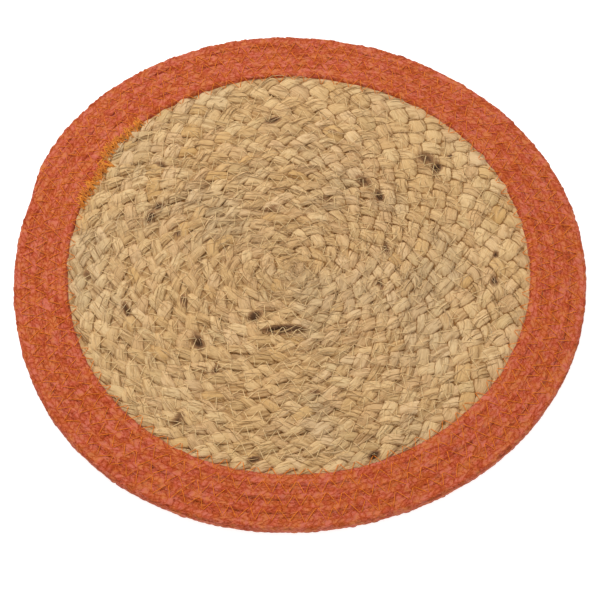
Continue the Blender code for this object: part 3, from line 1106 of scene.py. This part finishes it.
# Loose fibres and cotton fluff that lie any way
juteFuzz = {"count": 5600, "points": 4, "shortest": 0.002, "longest": 0.010, "thinnest": 0.00008,
            "thickest": 0.00017, "lift": 0.0009, "bend": 0.9, "within": 0.98, "crowding": 0.75,
            "unevenHeading": 0.8, "pale": 0.9, "dark": 0.18, "seed": 31}
cottonFuzz = {"count": 2200, "points": 4, "shortest": 0.0015, "longest": 0.0045, "thinnest": 0.00005,
              "thickest": 0.00011, "lift": 0.0012, "bend": 1.6, "margin": 0.001, "pale": 0.6,
              "dark": 0.0, "seed": 32}
fibre = {"sides": 3, "thinEnds": 0.5, "sunkEnd": 0.0003, "unevenTone": 0.30, "darkShade": 0.30,
         "offEdge": 0.0025, "drop": 0.001, "apart": 1000.0, "grain": 10.0}


def alongStrands(draw, fuzz):
    count = fuzz["count"]
    share = np.linspace(-0.5, 0.5, fuzz["points"])
    reach = draw.uniform(fuzz["shortest"], fuzz["longest"], count)
    flat = np.empty((count, fuzz["points"], 2))
    which = draw.integers(0, 3, count)
    for number, strand in enumerate(juteStrands):
        onTop = np.flatnonzero(np.sin(2.0 * strand["phase"] - fuzz["topShift"]) < fuzz["onTop"])
        chosen = np.flatnonzero(which == number)
        own = reach[chosen, None]
        place = draw.choice(onTop, len(chosen))[:, None] + share * own / braid["step"]
        low = np.clip(place, 0, len(strand["path"]) - 1).astype(int)
        side = draw.uniform(-fuzz["within"], fuzz["within"], len(chosen)) * strand["width"][low[:, 0]]
        side = side[:, None] + draw.normal(0.0, fuzz["stray"], len(chosen))[:, None] * own * share
        start, sideways = strand["path"][low][..., :2], strand["sideways"][low][..., :2]
        flat[chosen] = start + sideways * side[..., None]
    return flat


def scattered(draw, fuzz, start, heading):
    reach = draw.uniform(fuzz["shortest"], fuzz["longest"], fuzz["count"])
    share = np.linspace(-0.5, 0.5, fuzz["points"])
    bend = draw.normal(0.0, fuzz["bend"], fuzz["count"])
    turn = heading[:, None] + bend[:, None] * share
    step = np.stack([np.cos(turn), np.sin(turn)], -1) * (reach / fuzz["points"])[:, None, None]
    path = np.cumsum(step, 1)
    return start[:, None] + path - path[:, fuzz["points"] // 2][:, None]


def onJute(draw, fuzz):
    radius = juteRadius * fuzz["within"] * draw.uniform(0.0, 1.0, fuzz["count"]) ** fuzz["crowding"]
    degrees = draw.uniform(0.0, 360.0, fuzz["count"])
    heading = np.radians(degrees + 90.0) + draw.normal(0.0, fuzz["unevenHeading"], fuzz["count"])
    return scattered(draw, fuzz, onTable(degrees, radius), heading)


def onBorder(draw, fuzz):
    degrees = draw.uniform(0.0, 360.0, fuzz["count"])
    margin = fuzz["margin"]
    radius = draw.uniform(juteRadius - margin, mat["radius"] - margin, fuzz["count"])
    heading = draw.uniform(0.0, 2.0 * math.pi, fuzz["count"])
    return scattered(draw, fuzz, onTable(degrees, radius), heading)


# A fibre that reaches past the mat's edge sticks out level instead of dropping to the table.
def looseFibres(name, fuzz, place, heights, finish):
    draw = np.random.default_rng(fuzz["seed"])
    count = fuzz["count"]
    flat = place(draw, fuzz)
    found = heights(flat)
    level = np.maximum(found.max(1, keepdims=True) - fibre["drop"], fibre["drop"])
    found = np.where(found < fibre["offEdge"], level, found)
    share = np.linspace(-0.5, 0.5, fuzz["points"])
    arch = draw.uniform(0.0, 1.0, count)[:, None] ** 3 * np.cos(math.pi * share) * fuzz["lift"]
    thick = draw.uniform(fuzz["thinnest"], fuzz["thickest"], count)[:, None]
    height = pulledTight(found) + arch + thick * 0.5
    height[:, 0] -= fibre["sunkEnd"]
    radii = thick * (1.0 - fibre["thinEnds"] * np.abs(2.0 * share) ** 2)
    tones = fuzz["pale"] + draw.normal(0.0, fibre["unevenTone"], count)
    hues = draw.uniform(0.0, 1.0, count)
    shades = np.where(draw.uniform(0.0, 1.0, count) < fuzz["dark"], fibre["darkShade"], 1.0)
    shape = (count, fuzz["points"], fibre["sides"])
    none, one = np.zeros(shape), np.ones(shape)
    tones, hues, shades = (values[:, None, None] * one for values in (tones, hues, shades))
    run = fibre["apart"] * np.arange(count)[:, None, None] + fibre["grain"] * share[:, None] + none
    spots = (("fibreSpot", np.stack([run, none, none], -1)),
             ("plaitLook", np.stack([tones, hues, none], -1)),
             ("paintedShadeAndDarkFibre", np.stack([shades, one, crevice["open"] * one], -1)))
    return roundTubes(name, atHeight(flat, height), radii, fibre["sides"], finish, spots)


print("making the finishes")
jute = juteFinish()
juteThread = plainFinish("natural_thread", srgb(238, 206, 150), 0.8, 0.1)
cotton = cottonFinish()
orangeThread = plainFinish("orange_thread", srgb(234, 128, 32), 0.6, 0.05)
cornerThread = plainFinish("yellow_orange_thread", srgb(234, 148, 56), 0.6, 0.05)
cottonLint = plainFinish("cotton_lint", srgb(222, 120, 92), 0.8, 0.1)

print("braiding the jute")
juteBed = bedPiece("jute_bed", discMiddle, discRim, bed["jute"], jute)
juteStrands, juteTurns = juteStrandList()
packing = packedStrand(braidLine, 1.0, mat["braidRounds"] + 1.0 - tiny, packed["jute"])
packingClearance = findCrevices(juteStrands, juteTurns, packing)
jutePlaits = juteBraid(juteStrands, juteTurns, jute)
jutePacking = jutePackingPiece(packing, packingClearance, jute)

print("winding the cord")
borderBed = bedPiece("border_bed", ringInner, ringOuter, bed["cotton"], cotton)
borderCords = borderCord(cotton)
packing = packedStrand(cordLine, 1.0, mat["cordRounds"] + 0.04, packed["cotton"])
yarnSpots = (("yarnSpot", packing["spot"]),)
borderCords.append(tubePiece("cotton_seam_fill", packing["rings"][None], cotton, yarnSpots))

print("sewing the seams")
overJute = heightOver(jutePlaits + [jutePacking])
overAll = heightOver(jutePlaits + [jutePacking] + borderCords)
juteSeam = threadPiece("jute_thread", braidLine, juteStitch, overJute, juteThread)
borderSeam = threadPiece("border_thread", cordLine, cordStitch, overAll, orangeThread)
cornerSeam = threadPiece("corner_thread", cordLine, cornerStitch, overAll, cornerThread)

print("laying the loose fibres")
juteSplits = looseFibres("jute_split_fibres", splitFibres, alongStrands, overJute, jute)
juteFibres = looseFibres("jute_loose_fibres", juteFuzz, onJute, overJute, jute)
cottonFibres = looseFibres("cotton_fuzz", cottonFuzz, onBorder, overAll, cottonLint)

onJuteBed = [*jutePlaits, jutePacking, juteSeam, juteSplits, juteFibres]
onBorderBed = [*borderCords, borderSeam, cornerSeam, cottonFibres]
for piece in [juteBed, *onJuteBed, borderBed, *onBorderBed]:
    places = [vertex.co.z * millimetres for vertex in piece.data.vertices]
    triangles = sum(len(face.vertices) - 2 for face in piece.data.polygons)
    print("%s: %d triangles, %.2f to %.2f mm high" % (piece.name, triangles, min(places), max(places)))

for piece in [juteBed, *onJuteBed]:
    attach(piece, "root")
for piece in [borderBed, *onBorderBed]:
    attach(piece, "root")
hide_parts("jute_coil")
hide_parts("cotton_border")

# Floor, light and camera
studio = {
    "floorSize": 6.0,
    "floorRoughness": 0.9,
    "floorColour": srgb(186, 186, 186),
    "floorGlowColour": srgb(252, 252, 252),
    "floorGlow": 0.80,
    "skyColour": (1.0, 1.0, 1.0, 1.0),
    "skyStrength": 0.68,
    "lamps": (((-0.6, 0.9, 1.7), 1.0, 26.0),),
}


def layFloor():
    half = studio["floorSize"] / 2.0
    corners = [(-half, -half, 0.0), (half, -half, 0.0), (half, half, 0.0), (-half, half, 0.0)]
    mesh = bpy.data.meshes.new("floor")
    mesh.from_pydata(corners, [], [(0, 1, 2, 3)])
    finish, tree, shader = newFinish("pale_floor", studio["floorRoughness"], 0.0)
    shader.inputs["Base Color"].default_value = studio["floorColour"]
    shader.inputs["Emission Color"].default_value = studio["floorGlowColour"]
    shader.inputs["Emission Strength"].default_value = studio["floorGlow"]
    finishedPiece("floor", mesh, finish)


def hangLamps():
    world = bpy.data.worlds.new("soft_sky")
    world.use_nodes = True
    background = world.node_tree.nodes["Background"]
    background.inputs["Color"].default_value = studio["skyColour"]
    background.inputs["Strength"].default_value = studio["skyStrength"]
    bpy.context.scene.world = world
    for number, (place, size, power) in enumerate(studio["lamps"]):
        data = bpy.data.lights.new("softbox_%d" % number, "AREA")
        data.shape = "DISK"
        data.size = size
        data.energy = power
        lamp = bpy.data.objects.new(data.name, data)
        lamp.location = place
        lamp.rotation_mode = "QUATERNION"
        lamp.rotation_quaternion = (-Vector(place)).to_track_quat("-Z", "Y")
        bpy.context.scene.collection.objects.link(lamp)


view = {
    "elevation": 60.45,
    "roll": 0.88,
    "distance": 0.9030,
    "target": (0.0022, -0.0298),  # on the coil's own axes, before it was centred
    "targetHeight": 0.0035,
    "lens": 82.64,
    "sensor": 36.0,
    "clip": (0.01, 50.0),
}


def setCamera():
    rise, roll = math.radians(view["elevation"]), math.radians(view["roll"])
    forward = Vector((0.0, math.cos(rise), -math.sin(rise)))
    right = Vector((1.0, 0.0, 0.0))
    up = right.cross(forward)
    turnedRight = math.cos(roll) * right + math.sin(roll) * up
    turnedUp = -math.sin(roll) * right + math.cos(roll) * up
    target = Vector((view["target"][0] - middle[0], view["target"][1] - middle[1], view["targetHeight"]))
    data = bpy.data.cameras.new("camera")
    data.lens = view["lens"]
    data.sensor_width = view["sensor"]
    data.clip_start, data.clip_end = view["clip"]
    camera = bpy.data.objects.new("camera", data)
    turn = Matrix((turnedRight, turnedUp, -forward)).transposed()
    camera.matrix_world = Matrix.Translation(target - forward * view["distance"]) @ turn.to_4x4()
    bpy.context.scene.collection.objects.link(camera)
    bpy.context.scene.camera = camera


print("setting up floor, lamps and camera")
layFloor()
hangLamps()
setCamera()
bpy.context.scene.view_settings.view_transform = "Standard"
